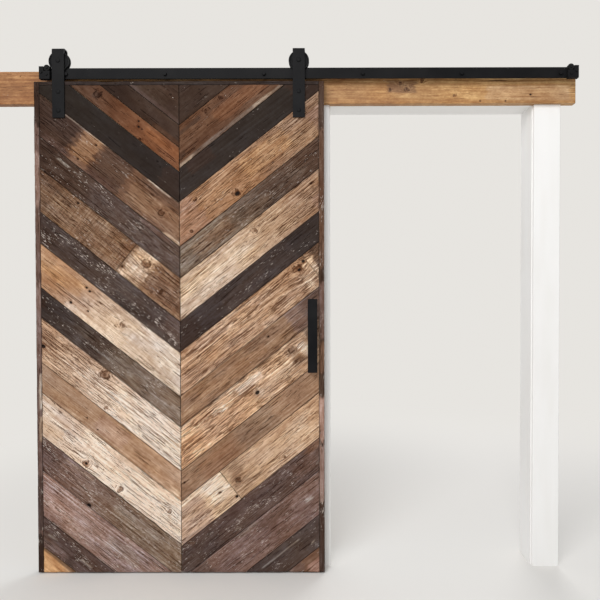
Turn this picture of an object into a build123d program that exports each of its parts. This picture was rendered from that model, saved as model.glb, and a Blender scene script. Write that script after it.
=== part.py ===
from build123d import *
from math import cos, radians, sqrt, tan
import os

# Sliding barn door of reclaimed boards laid in a chevron, with its flat-bar track, header board
# and the jambs and casing of its doorway. All sizes are in millimetres. X runs along the wall to
# the right, Y runs into the wall and Z is up. The origin is on the floor, in the middle of the
# clear doorway, on the face of the wall. The door is parked open, against its left stop.

# Doorway lining and casing
opening_width = 880
opening_height = 2018
wall_depth = 140
jamb_thickness = 18
casing_width = 114
casing_thickness = 19
casing_reveal = 4
casing_arris = 2

# Header board, which stands on the casing and carries the track
head_reveal = 3
header_height = 140
header_thickness = 38
header_overhang = 57
header_run_on = 259
header_arris = 4

# Track: a flat steel bar on edge, held off the header by spacers and lag bolts
rail_height = 45
rail_thickness = 6
rail_end_inset = 11
rail_standoff = 33
rail_bolt_count = 6
first_bolt_inset = 107
last_bolt_inset = 69
spacer_radius = 8.5
lag_radius = 5
lag_thread_radius = 4.4
lag_thread_length = 45
lag_point = 3
lag_head_across = 14.3
lag_head_height = 6.5
washer_radius = 8.5
washer_thickness = 2

# Door
door_width = 1226
door_headroom = 14
floor_gap = 6
plank_thickness = 19
panel_thickness = 25
side_board_thickness = 22
top_board_thickness = 15
board_arris = 1

# Chevron: each board's width with its gap, down the middle seam from the top of the door
chevron_angle = 38.3
board_gap = 1.2
left_board_widths = [145, 74, 81, 104, 144, 104, 146, 105, 147, 101, 148, 102, 146, 117, 153, 103, 145]
right_board_widths = [145, 144, 110, 150, 105, 143, 102, 149, 102, 150, 102, 151, 110, 149, 109, 145]
# Boards made of two lengths: side and number down the seam, with the butt joint's way out from it
butt_joints = {("left", 7): 228, ("right", 8): 566, ("right", 12): 211}
butt_gap = 0.8

# Hangers: a bent strap on each side, with a grooved wheel between its legs
hanger_inset = 106
strap_width = 51
strap_thickness = 6
strap_overlap = 154
strap_bend_radius = 10
strap_corner = 3
rear_leg_drop = 24
strap_bolt_radius = 4
strap_bolt_head_radius = 9
strap_bolt_head_height = 3.5
strap_bolt_margin = 30
nut_recess_radius = 11
nut_recess_depth = 9
nut_radius = 9
nut_height = 8

# Wheels and axles
wheel_radius = 43.3
tread_radius = 27.3
wheel_width = 24
wheel_side_play = 2
groove_side_play = 1.2
groove_flare = 2.4
wheel_recess_inner = 16
wheel_recess_outer = 38
wheel_recess_depth = 2.5
wheel_arris = 1
bush_radius = 9
axle_radius = 5
axle_head_radius = 9.5
axle_head_height = 4.5
axle_nut_across = 17
axle_nut_height = 8
flange_top_gap = 2.3

# End stops: a steel block with a round rubber buffer in its inner, upper corner
stop_width = 45
stop_height = 53
stop_thickness = 20
stop_drop = 6.5
stop_corner = 2
buffer_radius = 13
buffer_drop = 4
buffer_thickness = 19
stop_screw_radius = 3
stop_screw_head_radius = 5
stop_screw_head_height = 4
stop_nut_across = 10
stop_nut_height = 5

# Pull: a flat bar on two round standoffs
pull_length = 310
pull_width = 40
pull_thickness = 6
pull_standoff = 32
pull_bottom = 866
pull_inset = 30
pull_end_margin = 40
pull_post_radius = 9
pull_arris = 1
pull_screw_radius = 3
pull_screw_grip = 16
pull_screw_head_radius = 6
pull_screw_head_height = 4

# Floor guide: a fin on a thin plate, in a groove along the bottom of the door
groove_width = 8
groove_depth = 16
guide_length = 60
guide_width = 40
guide_plate = 3
guide_end_margin = 34
guide_side_play = 0.8
guide_top_play = 2
guide_hole_radius = 2.25
guide_hole_spacing = 40
guide_hole_offset = 12

# Clearances shared by pieces that meet
running_gap = 0.2
bush_clearance = 0.05
bolt_clearance = 0.3
flange_clearance = 1.2
parking_slack = 0.5

# Heights and depths of the header and the rail. Depths are measured from the wall's face, out
# into the room
header_bottom = opening_height - head_reveal
header_top = header_bottom + header_height
rail_top = header_top
rail_bottom = rail_top - rail_height
rail_middle = (rail_top + rail_bottom) / 2
rail_back = header_thickness + rail_standoff
rail_front = rail_back + rail_thickness

# Wheels, hangers and stops
wheel_depth = (rail_back + rail_front) / 2
axle_height = rail_top + running_gap + tread_radius
strap_gap = wheel_width + 2 * wheel_side_play
strap_back = wheel_depth + strap_gap / 2
strap_front = strap_back + strap_thickness
rear_leg_back = wheel_depth - strap_gap / 2 - strap_thickness
strap_top = axle_height + wheel_radius + flange_top_gap + strap_thickness
stop_bottom = rail_bottom - stop_drop
buffer_height = rail_top - buffer_drop
buffer_inset = stop_width - buffer_radius
touch_distance = wheel_radius + buffer_radius
stop_reach = sqrt(touch_distance**2 - (axle_height - buffer_height) ** 2) + parking_slack

# The door travels as far as its foot still covers the guide, and the rail is as long as that needs
hanger_spacing = door_width - 2 * hanger_inset
door_travel = door_width - guide_length - 2 * guide_end_margin
rail_length = hanger_spacing + door_travel + 2 * (buffer_inset + stop_reach)
header_right = opening_width / 2 + casing_reveal + casing_width + header_overhang
rail_right = header_right - rail_end_inset
rail_left = rail_right - rail_length
header_left = rail_left - header_run_on
rail_bolt_pitch = (rail_length - first_bolt_inset - last_bolt_inset) / (rail_bolt_count - 1)
# The bolts and spacers sit low enough in the rail for the wheels' flanges to pass over them
rail_bolt_height = axle_height - wheel_radius - flange_clearance - spacer_radius
rail_bolt_places = [
    (rail_left + first_bolt_inset + n * rail_bolt_pitch, rail_bolt_height) for n in range(rail_bolt_count)
]

# Door, parked with its left wheel at the left stop
left_hanger = rail_left + buffer_inset + stop_reach
right_hanger = left_hanger + hanger_spacing
door_left = left_hanger - hanger_inset
door_right = door_left + door_width
door_bottom = floor_gap
door_top = rail_bottom - door_headroom
door_front = strap_back
panel_front = door_front - plank_thickness
door_back = panel_front - panel_thickness
door_thickness = plank_thickness + panel_thickness
strap_bottom = door_top - strap_overlap
field_left = door_left + side_board_thickness
field_right = door_right - side_board_thickness
field_top = door_top - top_board_thickness
seam = (field_left + field_right) / 2
groove_middle = panel_front - panel_thickness / 2

# Fixings of the hangers and the pull, as places on the face of the door
strap_bolt_heights = [strap_bottom + strap_bolt_margin, door_top - strap_bolt_margin - top_board_thickness]
strap_bolt_places = [(x, z) for x in (left_hanger, right_hanger) for z in strap_bolt_heights]
pull_middle = door_right - pull_inset - pull_width / 2
pull_heights = [pull_bottom + pull_end_margin, pull_bottom + pull_length - pull_end_margin]
pull_places = [(pull_middle, z) for z in pull_heights]


def wall_plane(depth):
    """A plane parallel to the wall, this far out from its face, that looks into the room."""
    return Plane.XZ.offset(depth)


def save(piece, name):
    """Label a finished piece and write its file."""
    piece.part.label = name
    export_step(piece.part, f"parts/{name}.step")


def slab(left, right, bottom, top, front, back):
    """A board from its four sides as seen from the room, and its depths off the wall."""
    with BuildPart() as board:
        with BuildSketch(wall_plane(front)):
            with Locations(((left + right) / 2, (bottom + top) / 2)):
                Rectangle(right - left, top - bottom)
        extrude(amount=-(front - back))
    return board.part


def rods(places, radius, front, back):
    """Round rods across the wall's depth at each place, as solids of their own."""
    with BuildPart() as bars:
        with BuildSketch(wall_plane(front)):
            with Locations(*places):
                Circle(radius)
        extrude(amount=-(front - back))
    return bars.part


def hexagons(places, across, front, back):
    """Hexagonal heads or nuts at each place, as solids of their own."""
    with BuildPart() as heads:
        with BuildSketch(wall_plane(front)):
            with Locations(*places):
                RegularPolygon(across / 2, 6, major_radius=False)
        extrude(amount=-(front - back))
    return heads.part


def make_doorway():
    """The jambs that line the opening, and the flat casing legs on the wall's face."""
    side = opening_width / 2
    for name, inner, outer in (
        ("left", -side, -side - jamb_thickness),
        ("right", side, side + jamb_thickness),
    ):
        with BuildPart() as jamb:
            add(slab(min(inner, outer), max(inner, outer), 0, opening_height, 0, -wall_depth))
        save(jamb, f"jamb_{name}")
    with BuildPart() as jamb_head:
        head_top = opening_height + jamb_thickness
        add(slab(-side - jamb_thickness, side + jamb_thickness, opening_height, head_top, 0, -wall_depth))
    save(jamb_head, "jamb_head")
    casing_inner = side + casing_reveal
    casing_outer = casing_inner + casing_width
    for name, left, right in (
        ("left", -casing_outer, -casing_inner),
        ("right", casing_inner, casing_outer),
    ):
        with BuildPart() as casing:
            add(slab(left, right, 0, header_bottom, casing_thickness, 0))
            front_uprights = casing.edges().filter_by(Axis.Z).group_by(Axis.Y)[0]
            chamfer(front_uprights, length=casing_arris)
        save(casing, f"casing_{name}")


def make_header():
    """The header board, bored for the lag bolts that go on into the wall."""
    with BuildPart() as header_board:
        add(slab(header_left, header_right, header_bottom, header_top, header_thickness, 0))
        front_face = header_board.faces().sort_by(Axis.Y)[0]
        fillet(front_face.edges(), radius=header_arris)
        bore = lag_radius + bolt_clearance
        add(rods(rail_bolt_places, bore, header_thickness, 0), mode=Mode.SUBTRACT)
    save(header_board, "header_board")


def make_track():
    """The rail, its spacers, and the lag bolts with their washers."""
    stop_places = stop_fixings(rail_left, 1) + stop_fixings(rail_right, -1)
    with BuildPart() as track_rail:
        add(slab(rail_left, rail_right, rail_bottom, rail_top, rail_front, rail_back))
        bolt_hole = lag_radius + bolt_clearance
        add(rods(rail_bolt_places, bolt_hole, rail_front, rail_back), mode=Mode.SUBTRACT)
        screw_hole = stop_screw_radius + bolt_clearance
        add(rods(stop_places, screw_hole, rail_front, rail_back), mode=Mode.SUBTRACT)
    save(track_rail, "track_rail")

    with BuildPart() as track_spacers:
        with BuildSketch(wall_plane(rail_back)):
            with Locations(*rail_bolt_places):
                Circle(spacer_radius)
                Circle(lag_radius + bolt_clearance, mode=Mode.SUBTRACT)
        extrude(amount=-rail_standoff)
    save(track_spacers, "track_spacers")

    washer_front = rail_front + washer_thickness
    head_front = washer_front + lag_head_height
    with BuildPart() as track_lag_bolts:
        add(rods(rail_bolt_places, lag_thread_radius, 0, -lag_thread_length))
        tips = track_lag_bolts.faces().filter_by(Axis.Y).group_by(Axis.Y)[-1].edges()
        chamfer(tips, length=lag_point)
        add(rods(rail_bolt_places, lag_radius, washer_front, 0))
        add(hexagons(rail_bolt_places, lag_head_across, head_front, washer_front))
        with BuildSketch(wall_plane(washer_front)):
            with Locations(*rail_bolt_places):
                Circle(washer_radius)
                Circle(lag_radius + bolt_clearance, mode=Mode.SUBTRACT)
        extrude(amount=-washer_thickness)
    save(track_lag_bolts, "track_lag_bolts")


def stop_fixings(rail_end, inwards):
    """The buffer's screw and the block's own screw, for the stop at this end of the rail."""
    column_middle = (stop_width - 2 * buffer_radius) / 2
    block_screw_height = stop_bottom + (rail_middle - stop_bottom) / 2 + stop_screw_head_radius
    return [
        (rail_end + inwards * buffer_inset, buffer_height),
        (rail_end + inwards * column_middle, rail_middle),
        (rail_end + inwards * buffer_inset, block_screw_height),
    ]


def make_end_stops():
    """A notched block at each end of the rail, with its rubber buffer and screws."""
    buffer_places = []
    block_screws = []
    for name, rail_end, inwards in (("left", rail_left, 1), ("right", rail_right, -1)):
        fixings = stop_fixings(rail_end, inwards)
        buffer_places.append(fixings[0])
        block_screws += fixings[1:]
        inner_end = rail_end + inwards * stop_width
        notch_side = rail_end + inwards * (buffer_inset - buffer_radius - running_gap)
        notch_floor = buffer_height - buffer_radius - running_gap
        stop_front = rail_front + stop_thickness
        with BuildPart() as end_stop:
            with BuildSketch(wall_plane(stop_front)):
                with BuildLine():
                    Polyline(
                        (rail_end, stop_bottom),
                        (inner_end, stop_bottom),
                        (inner_end, notch_floor),
                        (notch_side, notch_floor),
                        (notch_side, stop_bottom + stop_height),
                        (rail_end, stop_bottom + stop_height),
                        close=True,
                    )
                make_face()
            extrude(amount=-stop_thickness)
            outer_corners = end_stop.edges().filter_by(Axis.Y).group_by(Axis.Z)[0]
            fillet(outer_corners, radius=stop_corner)
            hole = stop_screw_radius + bolt_clearance
            add(rods(fixings[1:], hole, stop_front, rail_front), mode=Mode.SUBTRACT)
        save(end_stop, f"end_stop_{name}")

    buffer_front = rail_front + buffer_thickness
    with BuildPart() as stop_buffers:
        with BuildSketch(wall_plane(buffer_front)):
            with Locations(*buffer_places):
                Circle(buffer_radius)
                Circle(stop_screw_radius + bolt_clearance, mode=Mode.SUBTRACT)
        extrude(amount=-buffer_thickness)
    save(stop_buffers, "stop_buffers")

    nut_back = rail_back - stop_nut_height
    with BuildPart() as stop_screws:
        for places, front in ((buffer_places, buffer_front), (block_screws, rail_front + stop_thickness)):
            head_front = front + stop_screw_head_height
            add(rods(places, stop_screw_head_radius, head_front, front))
            add(rods(places, stop_screw_radius, front, nut_back))
            add(hexagons(places, stop_nut_across, rail_back, nut_back))
    save(stop_screws, "stop_screws")


def make_floor_guide():
    """The fin that keeps the foot of the door in line, where the door covers it all the way."""
    guide_middle = door_right - guide_end_margin - guide_length / 2
    fin_thickness = groove_width - 2 * guide_side_play
    with BuildPart() as floor_guide:
        with BuildSketch(Plane.XY):
            with Locations((guide_middle, -groove_middle)):
                Rectangle(guide_length, guide_width)
        extrude(amount=guide_plate)
        with BuildSketch(Plane.XY.offset(guide_plate)):
            with Locations((guide_middle, -groove_middle)):
                SlotOverall(guide_length, fin_thickness)
        extrude(amount=door_bottom + groove_depth - guide_top_play - guide_plate)
        with BuildSketch(Plane.XY):
            with Locations((guide_middle, -groove_middle - guide_hole_offset)):
                with GridLocations(guide_hole_spacing, 1, 2, 1):
                    Circle(guide_hole_radius)
        extrude(amount=guide_plate, mode=Mode.SUBTRACT)
    save(floor_guide, "floor_guide")


def make_door_carcass():
    """The panel behind the boards, and the boards that cap its sides and top."""
    groove_front = groove_middle + groove_width / 2
    groove_back = groove_middle - groove_width / 2
    groove = slab(door_left, door_right, door_bottom, door_bottom + groove_depth, groove_front, groove_back)
    with BuildPart() as door_back_panel:
        add(slab(field_left, field_right, door_bottom, field_top, panel_front, door_back))
        add(groove, mode=Mode.SUBTRACT)
        for places, bolt, recess, depth in (
            (strap_bolt_places, strap_bolt_radius, nut_recess_radius, nut_recess_depth),
            (pull_places, pull_screw_radius, nut_recess_radius, nut_recess_depth),
        ):
            add(rods(places, bolt + bolt_clearance, panel_front, door_back), mode=Mode.SUBTRACT)
            add(rods(places, recess, door_back + depth, door_back), mode=Mode.SUBTRACT)
    save(door_back_panel, "door_back_panel")

    for name, left, right in (
        ("left", door_left, field_left),
        ("right", field_right, door_right),
    ):
        with BuildPart() as edge_board:
            add(slab(left, right, door_bottom, door_top, door_front, door_back))
            add(groove, mode=Mode.SUBTRACT)
            front_uprights = edge_board.edges().filter_by(Axis.Z).group_by(Axis.Y)[0]
            chamfer(front_uprights, length=board_arris)
        save(edge_board, f"edge_{name}")
    with BuildPart() as edge_top:
        add(slab(field_left, field_right, field_top, door_top, door_front, door_back))
    save(edge_top, "edge_top")


def make_plank(side_name, number, upper, lower):
    """One chevron board, between the heights where its long edges would meet the seam."""
    side = -1 if side_name == "left" else 1
    half_width = (field_right - field_left) / 2
    rise = half_width * tan(radians(chevron_angle))
    outer = seam + side * half_width
    with BuildPart() as plank:
        with BuildSketch(wall_plane(door_front)):
            with BuildLine():
                Polyline(
                    (seam, lower),
                    (seam, upper),
                    (outer, upper + rise),
                    (outer, lower + rise),
                    close=True,
                )
            make_face()
            # Cut to the half of the field that the board is in
            with Locations(((seam + outer) / 2, (door_bottom + field_top) / 2)):
                Rectangle(half_width - board_gap, field_top - door_bottom, mode=Mode.INTERSECT)
            if (side_name, number) in butt_joints:
                run = butt_joints[side_name, number]
                joint_height = (upper + lower) / 2 + run * tan(radians(chevron_angle))
                with Locations((seam + side * run, joint_height)):
                    Rectangle(butt_gap, upper - lower, rotation=side * chevron_angle, mode=Mode.SUBTRACT)
        extrude(amount=-plank_thickness)
        front_edges = plank.faces().filter_by(Axis.Y).group_by(Axis.Y)[0].edges()
        chamfer(front_edges, length=board_arris)
        for places, radius in ((strap_bolt_places, strap_bolt_radius), (pull_places, pull_screw_radius)):
            holes = rods(places, radius + bolt_clearance, door_front, panel_front)
            add(holes, mode=Mode.SUBTRACT)
    save(plank, f"plank_{side_name}_{number:02d}")


def make_planks():
    """Both halves of the chevron, laid from the top until the bottom corner is covered."""
    slope = tan(radians(chevron_angle))
    corner = door_bottom - slope * (field_right - field_left) / 2
    upright_gap = board_gap / cos(radians(chevron_angle))
    for side_name, widths in (("left", left_board_widths), ("right", right_board_widths)):
        upper = door_top
        number = 0
        while upper > corner:
            pitch = widths[number % len(widths)] / cos(radians(chevron_angle))
            number += 1
            make_plank(side_name, number, upper, upper - pitch + upright_gap)
            upper -= pitch


def make_hangers():
    """The bent straps, the bolts that hold them to the door, and the axles with their bushes."""
    inner_bend = strap_bend_radius - strap_thickness
    rear_bottom = axle_height - rear_leg_drop
    for name, middle in (("left", left_hanger), ("right", right_hanger)):
        with BuildPart() as hanger:
            # Side view of the strap: down the front of the door, over the wheel, behind the rail
            with BuildSketch(Plane.YZ.offset(middle - strap_width / 2)):
                with BuildLine():
                    FilletPolyline(
                        (-strap_front, strap_bottom),
                        (-strap_front, strap_top),
                        (-rear_leg_back, strap_top),
                        (-rear_leg_back, rear_bottom),
                        radius=strap_bend_radius,
                    )
                    FilletPolyline(
                        (-strap_back, strap_bottom),
                        (-strap_back, strap_top - strap_thickness),
                        (-rear_leg_back - strap_thickness, strap_top - strap_thickness),
                        (-rear_leg_back - strap_thickness, rear_bottom),
                        radius=inner_bend,
                    )
                    Line((-strap_front, strap_bottom), (-strap_back, strap_bottom))
                    Line((-rear_leg_back, rear_bottom), (-rear_leg_back - strap_thickness, rear_bottom))
                make_face()
            extrude(amount=strap_width)
            lower_corners = hanger.edges().filter_by(Axis.Y).group_by(Axis.Z)[0]
            fillet(lower_corners, radius=strap_corner)
            axle_hole = axle_radius + bolt_clearance
            axle_place = [(middle, axle_height)]
            add(rods(axle_place, axle_hole, strap_front, rear_leg_back), mode=Mode.SUBTRACT)
            bolt_places = [(middle, z) for z in strap_bolt_heights]
            bolt_hole = strap_bolt_radius + bolt_clearance
            add(rods(bolt_places, bolt_hole, strap_front, strap_back), mode=Mode.SUBTRACT)
        save(hanger, f"hanger_{name}")

    nut_front = door_back + nut_recess_depth
    with BuildPart() as hanger_bolts:
        head_front = strap_front + strap_bolt_head_height
        add(rods(strap_bolt_places, strap_bolt_head_radius, head_front, strap_front))
        head_rims = hanger_bolts.faces().filter_by(Axis.Y).group_by(Axis.Y)[0].edges()
        fillet(head_rims, radius=strap_bolt_head_height / 2)
        add(rods(strap_bolt_places, strap_bolt_radius, strap_front, nut_front))
        add(rods(strap_bolt_places, nut_radius, nut_front, nut_front - nut_height))
    save(hanger_bolts, "hanger_bolts")

    axle_places = [(left_hanger, axle_height), (right_hanger, axle_height)]
    with BuildPart() as axle_bolts:
        add(rods(axle_places, axle_head_radius, strap_front + axle_head_height, strap_front))
        head_rims = axle_bolts.faces().filter_by(Axis.Y).group_by(Axis.Y)[0].edges()
        fillet(head_rims, radius=axle_head_height / 3)
        add(rods(axle_places, axle_radius, strap_front, rear_leg_back - axle_nut_height))
        add(hexagons(axle_places, axle_nut_across, rear_leg_back, rear_leg_back - axle_nut_height))
    save(axle_bolts, "axle_bolts")

    with BuildPart() as axle_bushes:
        with BuildSketch(wall_plane(strap_back)):
            with Locations(*axle_places):
                Circle(bush_radius)
                Circle(axle_radius + bush_clearance, mode=Mode.SUBTRACT)
        extrude(amount=-strap_gap)
    save(axle_bushes, "axle_bushes")


def make_wheels():
    """The grooved wheels: two flanges that straddle the rail, and a tread that rolls on it."""
    half = wheel_width / 2
    groove_half = rail_thickness / 2 + groove_side_play
    recess = half - wheel_recess_depth
    bore = bush_radius + bush_clearance
    for name, middle in (("left", left_hanger), ("right", right_hanger)):
        axle = Axis((middle, 0, axle_height), (0, 1, 0))
        with BuildPart() as wheel:
            # Half section, outwards from the axle and across the wheel's width
            section_plane = Plane(origin=(middle, -wheel_depth, axle_height), x_dir=(0, 0, 1), z_dir=(1, 0, 0))
            with BuildSketch(section_plane):
                with BuildLine():
                    Polyline(
                        (bore, 0),
                        (bore, half),
                        (wheel_recess_inner, half),
                        (wheel_recess_inner + wheel_recess_depth, recess),
                        (wheel_recess_outer - wheel_recess_depth, recess),
                        (wheel_recess_outer, half),
                        (wheel_radius - wheel_arris, half),
                        (wheel_radius, half - wheel_arris),
                        (wheel_radius, groove_half + groove_flare + wheel_arris),
                        (wheel_radius - wheel_arris, groove_half + groove_flare),
                        (tread_radius, groove_half),
                        (tread_radius, 0),
                        close=True,
                    )
                make_face()
                mirror(about=Plane.XZ)
            revolve(axis=axle)
        save(wheel, f"wheel_{name}")


def make_pull():
    """The pull bar on its posts, and the screws that reach it through the door."""
    bar_back = door_front + pull_standoff
    bar_front = bar_back + pull_thickness
    bar_left = pull_middle - pull_width / 2
    bar_top = pull_bottom + pull_length
    with BuildPart() as pull_handle:
        add(slab(bar_left, bar_left + pull_width, pull_bottom, bar_top, bar_front, bar_back))
        chamfer(pull_handle.faces().sort_by(Axis.Y)[0].edges(), length=pull_arris)
        add(rods(pull_places, pull_post_radius, bar_back, door_front))
        screw_hole = pull_screw_radius + bolt_clearance
        hole_end = door_front + pull_screw_grip + bolt_clearance
        add(rods(pull_places, screw_hole, hole_end, door_front), mode=Mode.SUBTRACT)
    save(pull_handle, "pull_handle")

    head_front = door_back + nut_recess_depth
    with BuildPart() as handle_screws:
        add(rods(pull_places, pull_screw_radius, door_front + pull_screw_grip, head_front))
        head_back = head_front - pull_screw_head_height
        add(rods(pull_places, pull_screw_head_radius, head_front, head_back))
    save(handle_screws, "handle_screws")


os.makedirs("parts", exist_ok=True)
make_doorway()
make_header()
make_track()
make_end_stops()
make_floor_guide()
make_door_carcass()
make_planks()
make_hangers()
make_wheels()
make_pull()
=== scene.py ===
import math

import bmesh
import bpy
import numpy as np
from mathutils import Matrix, Vector, geometry


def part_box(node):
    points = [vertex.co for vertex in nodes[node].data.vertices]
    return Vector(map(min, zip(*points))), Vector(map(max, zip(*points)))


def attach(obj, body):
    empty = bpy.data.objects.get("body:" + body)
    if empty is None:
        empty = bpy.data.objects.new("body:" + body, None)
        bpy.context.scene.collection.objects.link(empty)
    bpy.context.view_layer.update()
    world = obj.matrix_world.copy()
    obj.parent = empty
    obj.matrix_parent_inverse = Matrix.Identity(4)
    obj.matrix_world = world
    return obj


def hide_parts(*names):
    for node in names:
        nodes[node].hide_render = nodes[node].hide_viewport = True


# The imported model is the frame: every piece below is made in its place, in metres.
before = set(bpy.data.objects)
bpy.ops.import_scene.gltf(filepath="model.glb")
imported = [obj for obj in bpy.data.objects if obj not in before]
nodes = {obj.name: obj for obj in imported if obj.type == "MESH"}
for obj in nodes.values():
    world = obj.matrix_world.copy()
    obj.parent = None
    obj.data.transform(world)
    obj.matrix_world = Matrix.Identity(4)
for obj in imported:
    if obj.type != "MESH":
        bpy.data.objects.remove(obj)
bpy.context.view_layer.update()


# The view: the camera stands in front of the doorway, a little left of its middle and at about eye
# height, and looks level at the wall. Place, lens and turn follow the photograph's straight edges.
eye_place = Vector((-0.4812, -2.669, 1.217))
turn_right, tilt_up, lean = math.radians(-0.07), math.radians(-1.02), math.radians(-0.11)
photo_width = 600
focal_length_in_pixels = 608.13
axis_pixel = 320.3
sensor_width = 36

camera_data = bpy.data.cameras.new("eye")
camera_data.sensor_width = sensor_width
camera_data.lens = sensor_width * focal_length_in_pixels / photo_width
camera_data.shift_x = (photo_width / 2 - axis_pixel) / photo_width
camera = bpy.data.objects.new("eye", camera_data)
camera.matrix_world = (
    Matrix.Translation(eye_place)
    @ Matrix.Rotation(-turn_right, 4, "Z")
    @ Matrix.Rotation(math.radians(90) + tilt_up, 4, "X")
    @ Matrix.Rotation(lean, 4, "Z")
)
bpy.context.scene.collection.objects.link(camera)
bpy.context.scene.camera = camera
bpy.context.scene.view_settings.view_transform = "Standard"


# The studio: a pale floor that fades into a plain pale room, a wide soft lamp above and in front
# of the door, and a weaker one behind it for the views from that side.
room_colour = (0.80, 0.78, 0.745, 1)
floor_colour = (0.80, 0.785, 0.76, 1)
room_light = 0.52
white = (1, 1, 1, 1)
floor_size = 60
fade_near, fade_far = 1.3, 3.6
lamp_width = 3.0
# Each lamp's place, what it is aimed at, and its power
lamps = {
    "front_lamp": ((-1.6, -3.6, 3.5), (-0.7, 0, 1.1), 125),
    "back_lamp": ((1.2, 4.2, 3.2), (-0.6, 0, 1.0), 90),
}


def add_node(tree, kind, settings=None, inputs=None):
    """Adds a node, sets its properties, and sets or links its inputs."""
    made = tree.nodes.new(kind)
    for name, value in (settings or {}).items():
        setattr(made, name, value)
    for key, value in (inputs or {}).items():
        if isinstance(value, bpy.types.NodeSocket):
            tree.links.new(value, made.inputs[key])
        else:
            made.inputs[key].default_value = value
    return made


def calculate(tree, operation, *values):
    """One step of arithmetic on numbers or sockets."""
    return add_node(tree, "ShaderNodeMath", {"operation": operation}, dict(enumerate(values))).outputs[0]


def rise(tree, value, low, high):
    """From 0 to 1, smoothly, as the value goes from low to high."""
    limits = {"Value": value, "From Min": low, "From Max": high}
    return add_node(tree, "ShaderNodeMapRange", {"interpolation_type": "SMOOTHSTEP"}, limits).outputs[0]


def new_material(name):
    """An empty material and its node tree."""
    made = bpy.data.materials.new(name)
    made.use_nodes = True
    made.node_tree.nodes.clear()
    return made, made.node_tree


def place_on_piece(tree):
    """The place on the piece, in metres."""
    return add_node(tree, "ShaderNodeTexCoord").outputs["Object"]


def seen_directly(tree):
    """1 for what is seen by the eye, in a reflection or through glass, and 0 for light."""
    rays = add_node(tree, "ShaderNodeLightPath").outputs
    seen = calculate(tree, "MAXIMUM", rays["Is Camera Ray"], rays["Is Glossy Ray"])
    return calculate(tree, "MAXIMUM", seen, rays["Is Transmission Ray"])


world = bpy.data.worlds.new("room")
bpy.context.scene.world = world
world.use_nodes = True
tree = world.node_tree
tree.nodes.clear()
seen = add_node(tree, "ShaderNodeBackground", inputs={"Color": room_colour}).outputs[0]
light = add_node(tree, "ShaderNodeBackground", inputs={"Color": white, "Strength": room_light}).outputs[0]
room = add_node(tree, "ShaderNodeMixShader", inputs={0: seen_directly(tree), 1: light, 2: seen}).outputs[0]
add_node(tree, "ShaderNodeOutputWorld", inputs={"Surface": room})

floor_material, tree = new_material("pale floor")
from_middle = {0: place_on_piece(tree)}
distance = add_node(tree, "ShaderNodeVectorMath", {"operation": "LENGTH"}, from_middle).outputs["Value"]
near_floor = add_node(tree, "ShaderNodeBsdfDiffuse", inputs={"Color": floor_colour}).outputs[0]
far_floor = add_node(tree, "ShaderNodeEmission", inputs={"Color": room_colour}).outputs[0]
fade = calculate(tree, "MULTIPLY", rise(tree, distance, fade_near, fade_far), seen_directly(tree))
floor_look = add_node(tree, "ShaderNodeMixShader", inputs={0: fade, 1: near_floor, 2: far_floor}).outputs[0]
add_node(tree, "ShaderNodeOutputMaterial", inputs={"Surface": floor_look})

floor_mesh = bpy.data.meshes.new("floor")
half = floor_size / 2
corners = [(-half, -half, 0), (half, -half, 0), (half, half, 0), (-half, half, 0)]
floor_mesh.from_pydata(corners, [], [(0, 1, 2, 3)])
floor_mesh.materials.append(floor_material)
floor = bpy.data.objects.new("floor", floor_mesh)
bpy.context.scene.collection.objects.link(floor)

for lamp_name, (lamp_place, aim, power) in lamps.items():
    lamp_data = bpy.data.lights.new(lamp_name, "AREA")
    lamp_data.shape = "DISK"
    lamp_data.size = lamp_width
    lamp_data.energy = power
    lamp = bpy.data.objects.new(lamp_name, lamp_data)
    lamp.location = lamp_place
    lamp.rotation_euler = (Vector(aim) - Vector(lamp_place)).to_track_quat("-Z", "Y").to_euler()
    bpy.context.scene.collection.objects.link(lamp)


# The doorway's lining and casing: planed softwood boards, brushed with two coats of white satin
# paint. They are nailed up square, and the frame's own solids are their true shape.
paint_white = (0.94, 0.935, 0.925, 1)
paint_thin = (0.90, 0.89, 0.87, 1)
brush_width = 0.0022
brush_length = 0.30
brush_relief = 0.00006


def clouds_at(tree, place, scale, detail):
    """Even noise, with this many clouds to the metre."""
    sizes = {"Vector": place, "Scale": scale, "Detail": detail}
    return add_node(tree, "ShaderNodeTexNoise", inputs=sizes).outputs["Fac"]


def streaks(tree, place, length, width, detail, seed, axis=0):
    """Noise drawn out to this length along one axis of a place, and this width across it."""
    size = [1 / width] * 3
    size[axis] = 1 / length
    drawn_out = {0: place, 1: size, 2: [seed] * 3}
    moved = add_node(tree, "ShaderNodeVectorMath", {"operation": "MULTIPLY_ADD"}, drawn_out).outputs[0]
    return clouds_at(tree, moved, 1, detail)


def spread(tree, value, low, high):
    """From low to high as the value goes from 0 to 1."""
    limits = {"Value": value, "To Min": low, "To Max": high}
    return add_node(tree, "ShaderNodeMapRange", inputs=limits).outputs[0]


def mix_colour(tree, share, first, second, blend="MIX"):
    """The first colour with a share of the second."""
    settings = {"data_type": "RGBA", "blend_type": blend}
    return add_node(tree, "ShaderNodeMix", settings, {0: share, 6: first, 7: second}).outputs[2]


def surface(tree, colour, roughness, shine=0.5, height=None, relief=0.0, metallic=0.0):
    """Ends a material: the shader with its colour, gloss and the relief that its height gives."""
    look = {"Base Color": colour, "Roughness": roughness, "Specular IOR Level": shine, "Metallic": metallic}
    if height is not None:
        bump = add_node(tree, "ShaderNodeBump", inputs={"Height": height, "Distance": relief})
        look["Normal"] = bump.outputs[0]
    shader = add_node(tree, "ShaderNodeBsdfPrincipled", inputs=look)
    add_node(tree, "ShaderNodeOutputMaterial", inputs={"Surface": shader.outputs[0]})


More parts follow.
